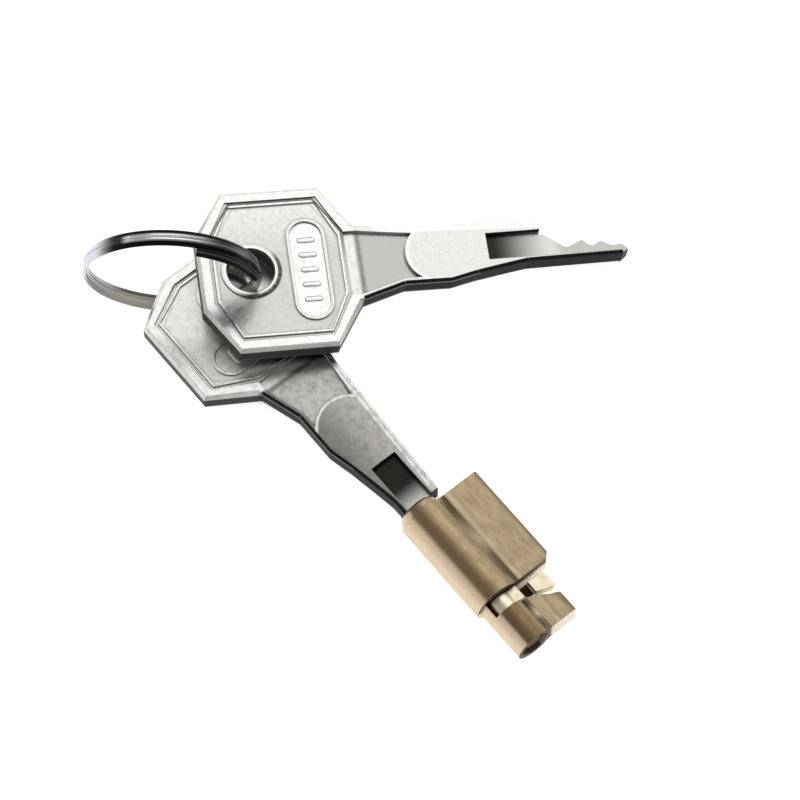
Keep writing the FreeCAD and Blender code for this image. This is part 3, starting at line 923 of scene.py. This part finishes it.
@dataclass(frozen=True)
class WhiteCard:
    """Matt white card: white, with a faint shadow, and dark where the object shuts it in."""

    paper: str = "#E6E6E6"
    glow: float = 0.80
    shade_mm: float = 9.0
    open_from: Pair = (0.06, 0.36)

    def material(self) -> Material:
        """Builds the card, whose own white shows to the eye and in metal alike.

        Returns:
            The material.
        """
        material = bpy.data.materials.new("white_card")
        tree = fresh_tree(material)
        rays = add_node(tree, "ShaderNodeLightPath").outputs
        seen = rays["Is Camera Ray"]
        for ray in ("Is Glossy Ray", "Is Transmission Ray"):
            seen = add_node(tree, "ShaderNodeMath", {
                "operation": "ADD", "use_clamp": True, 0: seen, 1: rays[ray]}).outputs[0]
        sky = add_node(tree, "ShaderNodeAmbientOcclusion", {"samples": 16, "Distance": self.shade_mm * MM})
        open_card = add_node(tree, "ShaderNodeMapRange", {
            "interpolation_type": "SMOOTHSTEP", "Value": sky.outputs["AO"], "From Min": self.open_from[0],
            "From Max": self.open_from[1], "To Max": self.glow}).outputs["Result"]
        strength = add_node(tree, "ShaderNodeMath", {"operation": "MULTIPLY", 0: seen, 1: open_card})
        glow = add_node(tree, "ShaderNodeEmission", {
            "Color": (1.0, 1.0, 1.0, 1.0), "Strength": strength.outputs[0]})
        matt = add_node(tree, "ShaderNodeBsdfDiffuse", {"Color": linear(self.paper)})
        both = add_node(tree, "ShaderNodeAddShader", {0: matt.outputs[0], 1: glow.outputs[0]})
        add_node(tree, "ShaderNodeOutputMaterial", {"Surface": both.outputs[0]})
        return material


# Nickel-plated steel, die-struck and tumbled, on the spare key, with a bright blade.
SPARE_NICKEL = SatinNickel(
    "bright_nickel", field="#C4C2BD", field_lit="#D8D6D2", blade="#CAC9C4", blade_shaded="#C9C8C3",
    blade_mottle="#B6B4AF", neck="#AFADA8", trough_shadow="#2C2B28", trough_lit="#CAC8C3", painted_highlight="#E4E3DF",
    worn_mm=(-3.0, -6.4), trough_mm=(32.4, 41.2), mottle_mm=0.6, outline_share=1.0)
# The same on the key in daily use, with a lighter bow and a darker blade than the spare key's.
HANDLED_NICKEL = SatinNickel(
    "handled_nickel", field="#DEDCD7", field_lit="#EAE8E4", blade="#A3A19C", blade_shaded="#72706B",
    blade_mottle="#55534F", neck="#B6B4AF", trough_shadow="#282724", trough_lit="#F4F2EC", painted_highlight="#D2D1CD",
    worn_mm=(28.0, -3.6), trough_mm=(35.6, 41.4), mottle_mm=0.9, outline_share=0.0)
# Free-cutting brass, freshly turned: pale yellow, bright, with faint tool marks.
TURNED_BRASS = PlainMetal("turned_brass", "#FBF0D6", "#F0E2C2", "#2E1A10", (0.34, 0.42), 0.9, 0.02)
# Drawn spring steel: grey, silky.
DRAWN_STEEL = PlainMetal("drawn_steel", "#A9A9AB", "#858587", "#2A2A2C", (0.28, 0.36), 0.20, 0.20)


@dataclass(frozen=True)
class Softbox:
    """A softbox that faces the object; azimuth 0 is beyond it, 90 to its right, and level 1 is white."""

    name: str
    azimuth: float
    elevation: float
    reach_m: float
    size_m: Pair
    level: float

    def hang(self) -> None:
        """Hangs it in the scene."""
        az, el = math.radians(self.azimuth), math.radians(self.elevation)
        out = Vector((math.sin(az) * math.cos(el), math.cos(az) * math.cos(el), math.sin(el)))
        lamp = bpy.data.lights.new(self.name, "AREA")
        lamp.shape = "RECTANGLE"
        lamp.size, lamp.size_y = self.size_m
        lamp.energy = self.level * math.pi * lamp.size * lamp.size_y
        box = bpy.data.objects.new(self.name, lamp)
        box.location = out * self.reach_m
        box.rotation_mode = "QUATERNION"
        box.rotation_quaternion = out.to_track_quat("Z", "Y")
        bpy.context.scene.collection.objects.link(box)


@dataclass
class Studio:
    """Camera, card, softboxes and surroundings."""

    aim_mm: tuple[float, float, float] = (5.82, 4.63, 0.0)
    azimuth: float = 1.93
    elevation: float = 66.18
    distance_mm: float = 448.0
    roll: float = -0.51
    lens_mm: float = 153.6
    sensor_mm: float = 36.0
    clip_m: Pair = (0.01, 20.0)
    card_m: float = 4.0
    card_squares: int = 8
    card_gap_mm: float = 0.02
    room: float = 0.30
    softboxes: tuple[Softbox, ...] = (
        Softbox("far_softbox", 11.0, 56.0, 0.75, (0.85, 0.46), 1.30),
        Softbox("low_softbox", 30.0, 23.0, 0.75, (0.5, 0.34), 0.80),
        Softbox("left_softbox", -88.0, 20.0, 0.80, (1.1, 0.46), 0.80),
        Softbox("near_softbox", 178.0, 32.0, 0.9, (1.4, 0.5), 0.5))

    def _camera(self) -> None:
        """Sets the camera where the photograph was taken from."""
        az, el, roll = (math.radians(a) for a in (self.azimuth, self.elevation, self.roll))
        back = Vector((math.sin(az) * math.cos(el), -math.cos(az) * math.cos(el), math.sin(el)))
        right = Vector((math.cos(az), math.sin(az), 0.0))
        up = back.cross(right)
        side = right * math.cos(roll) + up * math.sin(roll)
        top = up * math.cos(roll) - right * math.sin(roll)
        data = bpy.data.cameras.new("camera")
        data.lens = self.lens_mm
        data.sensor_width = self.sensor_mm
        data.clip_start, data.clip_end = self.clip_m
        camera = bpy.data.objects.new("camera", data)
        bpy.context.scene.collection.objects.link(camera)
        place = Matrix((side, top, back)).transposed().to_4x4()
        place.translation = Vector(self.aim_mm) * MM + back * self.distance_mm * MM
        camera.matrix_world = place
        bpy.context.scene.camera = camera

    def _card(self) -> None:
        """Lays the white card under the object."""
        bm = bmesh.new()
        count = self.card_squares
        bmesh.ops.create_grid(bm, x_segments=count, y_segments=count, size=self.card_m / 2)
        card = mesh_piece("card", bm, smooth=False)
        card.location.z = -self.card_gap_mm * MM
        card.data.materials.append(WhiteCard().material())

    def _surroundings(self) -> None:
        """Dim, even grey room."""
        world = bpy.data.worlds.new("room")
        tree = fresh_tree(world)
        back = add_node(tree, "ShaderNodeBackground", {"Color": (1.0, 1.0, 1.0, 1.0), "Strength": self.room})
        add_node(tree, "ShaderNodeOutputWorld", {"Surface": back.outputs[0]})
        bpy.context.scene.world = world

    def build(self) -> None:
        """Sets the whole studio up."""
        self._camera()
        self._card()
        for softbox in self.softboxes:
            softbox.hang()
        self._surroundings()
        bpy.context.scene.view_settings.view_transform = "Standard"


def key_place(node: Piece, hole: Vector, up: Vector) -> Place:
    """Finds how a packed key lies.

    Args:
        node: The key's packed object.
        hole: A point on its hole's axis, in the key's middle plane.
        up: The hole's own direction.

    Returns:
        The key's place, its length pointing to the tip.
    """
    far = max((v.co - hole for v in node.data.vertices), key=lambda d: (d - up * d.dot(up)).length)
    flat = (far - up * far.dot(up)).normalized()
    # The tip stands off the key's own long line by a little, towards the lower edge.
    lean = math.asin(Key.TIP_OFF_MM * MM / far.length)
    along = (Matrix.Rotation(lean, 4, up) @ flat).normalized()
    return Place(hole, along, up.cross(along), up)


@dataclass
class Key:
    """One flat key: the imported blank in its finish, with grip ribs in the oval panels of its bow."""

    TIP_OFF_MM = 0.70
    THICK_MM = 3.0

    name: str
    place: Place
    finish: SatinNickel
    panel_depth_mm: float = 0.30
    rib_count: int = 5
    rib_pitch_mm: float = 2.15
    rib_length_mm: float = 2.5
    rib_width_mm: float = 0.85
    rib_height_mm: float = 0.10
    rib_sink_mm: float = 0.02
    rib_dome: float = 0.9
    ring_steps: int = 5
    corner_steps: int = 6

    def _rib(self, bm: Mesh, centre_y: float, side: int) -> None:
        """Adds one rounded rib.

        Args:
            bm: The working mesh.
            centre_y: The rib's place across the key, in millimetres from the hole.
            side: 1 for the upper face, -1 for the lower one.
        """
        floor = self.THICK_MM / 2 - self.panel_depth_mm
        straight = (self.rib_length_mm - self.rib_width_mm) / 2
        outline = []
        for end in (1, -1):
            for step in range(self.corner_steps + 1):
                turn = math.pi * step / self.corner_steps - math.pi / 2
                outline.append((end * straight, end * math.cos(turn), end * math.sin(turn)))
        rings = []
        for level in range(self.ring_steps):
            rise = level / (self.ring_steps - 1) * math.pi / 2 * self.rib_dome
            radius = self.rib_width_mm / 2 * math.cos(rise)
            height = floor + self.rib_height_mm * math.sin(rise) - (self.rib_sink_mm if level == 0 else 0.0)
            rings.append([bm.verts.new(self.place.point(
                self.finish.relief.panel_x + x + radius * c, centre_y + radius * s, side * height))
                for x, c, s in outline])
        close_tube(bm, rings)

    def build(self, node: Piece) -> list[Piece]:
        """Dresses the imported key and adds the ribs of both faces.

        Args:
            node: The key's packed object.

        Returns:
            The pieces added.
        """
        nickel = self.finish.material(self.place, self.THICK_MM / 2)
        dress(node, nickel)
        pieces = []
        for side, word in ((1, "upper"), (-1, "lower")):
            bm = bmesh.new()
            first = -(self.rib_count - 1) / 2 * self.rib_pitch_mm
            for index in range(self.rib_count):
                self._rib(bm, self.finish.relief.panel_y + first + index * self.rib_pitch_mm, side)
            ribs = mesh_piece(f"{self.name}_{word}_ribs", bm)
            dress(ribs, nickel)
            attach(ribs, self.name)
            pieces.append(ribs)
        return pieces


@dataclass
class SplitRing:
    """Split ring wound from one flattened wire: two turns side by side and a short third lap over them."""

    centre: Vector
    axis: Vector
    finish: ChromedWire
    outer_mm: float = 11.7
    wall_mm: float = 0.90
    coil_mm: float = 1.10
    lap_from: float = 14.0
    lap_to: float = 70.0
    step_over: float = 13.0
    play_mm: float = 0.015
    turn_steps: int = 120
    section_steps: int = 24

    def _layer(self, degrees: float) -> float:
        """Finds the coil that the wire runs in, with a smooth step at each lap.

        Args:
            degrees: How far from the wire's start.

        Returns:
            The coil, counted from nothing.
        """
        laps, rest = divmod(degrees, 360.0)
        share = min(max((rest - 360.0 + self.step_over) / self.step_over, 0.0), 1.0)
        return laps + share * share * (3.0 - 2.0 * share)

    def _section(self, layer: float) -> list[Pair]:
        """Outline of the half-round wire, whose flat side lies against the next coil.

        Args:
            layer: The coil that it runs in; the first is round on its far side, others on their near side.

        Returns:
            Radial and axial offsets in millimetres.
        """
        half = self.coil_mm / 2 - self.play_mm
        centre = half - 2.0 * half * min(layer, 1.0)
        wide = self.wall_mm / 2 - self.play_mm
        points = []
        for step in range(self.section_steps):
            turn = 2 * math.pi * step / self.section_steps
            reach = half - centre if math.cos(turn) > 0 else half + centre
            points.append((math.sin(turn) * wide, centre + math.cos(turn) * reach))
        return points

    def build(self, node: str) -> Piece:
        """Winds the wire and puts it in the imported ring's place.

        Args:
            node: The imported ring's name.

        Returns:
            The ring.
        """
        axis = self.axis.normalized()
        side = Vector((1.0, 0.0, 0.0))
        side = (side - axis * side.dot(axis)).normalized()
        rise = axis.cross(side)
        sweep = 720.0 + self.lap_to - self.lap_from
        count = int(sweep / 360.0 * self.turn_steps)
        middle = self.outer_mm - self.wall_mm / 2
        bm = bmesh.new()
        rings = []
        for step in range(count + 1):
            degrees = sweep * step / count
            turn = math.radians(self.lap_from + degrees)
            out = side * math.cos(turn) + rise * math.sin(turn)
            layer = self._layer(degrees)
            depth = (layer - 0.5) * self.coil_mm
            rings.append([bm.verts.new(self.centre + (out * (middle + r) + axis * (depth + a)) * MM)
                          for r, a in self._section(layer)])
        close_tube(bm, rings)
        ring = mesh_piece("ring_wire", bm)
        place = Place(self.centre, side, rise, axis)
        dress(ring, self.finish.material(place))
        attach(ring, "split_ring")
        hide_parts(node)
        return ring


@dataclass
class LockCylinder:
    """The brass profile cylinder: all its pieces in their finishes, with hollow fillets at the lug's foot."""

    place: Place
    nodes: dict[str, Piece]
    radius_mm: float = 3.25
    end_radius_mm: float = 2.70
    lug_half_mm: float = 1.70
    fillet_mm: float = 1.5
    body_mm: Pair = (0.02, 14.98)
    end_mm: Pair = (17.45, 22.48)
    fillet_steps: int = 10
    flat_bite_mm: float = 0.15
    round_bite_mm: float = 0.17
    steel: tuple[str, ...] = ("cam_pin", "retaining_clip", "pin_spring_1", "pin_spring_2", "pin_spring_3")
    drawn: tuple[str, ...] = ("housing", "plug")
    keys: tuple[str, ...] = ("inserted_key", "spare_key", "split_ring")
    dressed: list[str] = field(default_factory=list)

    def _fillet(self, bm: Mesh, radius: float, span: Pair, side: int) -> None:
        """Adds one hollow fillet between the round body and the lug's flat.

        Args:
            bm: The working mesh.
            radius: The round body's radius in millimetres.
            span: Where the fillet starts and ends along the lock, in millimetres.
            side: 1 for the upper side, -1 for the lower one.
        """
        reach = radius + self.fillet_mm
        high = self.lug_half_mm + self.fillet_mm
        out = math.sqrt(reach * reach - high * high)
        first = math.atan2(-high, -out)
        foot = self.lug_half_mm - self.flat_bite_mm
        outline = [(math.sqrt(radius * radius - foot * foot) - self.round_bite_mm, foot)]
        for step in range(self.fillet_steps + 1):
            turn = first + (-math.pi / 2 - first) * step / self.fillet_steps
            outline.append((out + self.fillet_mm * math.cos(turn), high + self.fillet_mm * math.sin(turn)))
        outline.append((out, foot))
        ends = [[bm.verts.new(self.place.point(x, y, side * z)) for y, z in outline] for x in span]
        close_tube(bm, ends)

    def build(self) -> list[Piece]:
        """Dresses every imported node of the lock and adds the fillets.

        Returns:
            The pieces added.
        """
        drawn = DrawnBrass().material(self.place)
        turned = TURNED_BRASS.material(self.place)
        # The cam's finish with a painted shadow between its hub and its nose.
        gap_shaded = TURNED_BRASS.material(self.place, gap_shaded=True)
        steel = DRAWN_STEEL.material(self.place)
        for name, node in sorted(self.nodes.items()):
            if name in self.keys:
                continue
            finish = drawn if name in self.drawn else steel if name in self.steel else turned
            dress(node, gap_shaded if name == "cam" else finish)
            self.dressed.append(name)
        pieces = []
        for side, word in ((1, "upper"), (-1, "lower")):
            bm = bmesh.new()
            self._fillet(bm, self.radius_mm, self.body_mm, side)
            self._fillet(bm, self.end_radius_mm, self.end_mm, side)
            fillet = mesh_piece(f"lug_fillet_{word}", bm)
            dress(fillet, drawn)
            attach(fillet, "housing")
            pieces.append(fillet)
        return pieces


def joint_line(joints: list[dict], name: str) -> tuple[Vector, Vector]:
    """A joint's point and direction.

    Args:
        joints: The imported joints.
        name: The joint's name.

    Returns:
        Its point in metres and its unit axis.
    """
    joint = next(j for j in joints if j["name"] == name)
    return Vector(joint["pos_m"]), Vector(joint["axis"]).normalized()


def main() -> None:
    """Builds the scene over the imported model."""
    logging.basicConfig(level=logging.INFO, format="%(message)s")
    for item in list(bpy.data.objects):
        bpy.data.objects.remove(item)
    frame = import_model()
    nodes = frame["nodes"]
    Studio().build()
    LOG.info("studio set")
    front, along = joint_line(frame["joints"], "plug_turn")
    up = Vector((0.0, 0.0, 1.0))
    lock_place = Place(front, along, up.cross(along), up)
    lock = LockCylinder(lock_place, nodes)
    added = [p.name for p in lock.build()]
    LOG.info("lock cylinder: %s and %s", ", ".join(lock.dressed), ", ".join(added))
    hole, hole_up = joint_line(frame["joints"], "spare_key_fan")
    spare = Key("spare_key", key_place(nodes["spare_key"], hole, hole_up), SPARE_NICKEL)
    LOG.info("spare key: %s", [p.name for p in spare.build(nodes["spare_key"])])
    inserted_place = Place(lock_place.point(-HOLE_BACK_MM, -AXIS_OFF_MM, 0.0), along, lock_place.across, up)
    inserted = Key("inserted_key", inserted_place, HANDLED_NICKEL)
    LOG.info("inserted key: %s", [p.name for p in inserted.build(nodes["inserted_key"])])
    ring_centre, ring_axis = joint_line(frame["joints"], "ring_turn")
    ring = SplitRing(ring_centre, ring_axis, ChromedWire()).build("split_ring")
    LOG.info("split ring: %s", ring.name)


if __name__ == "__main__":
    main()
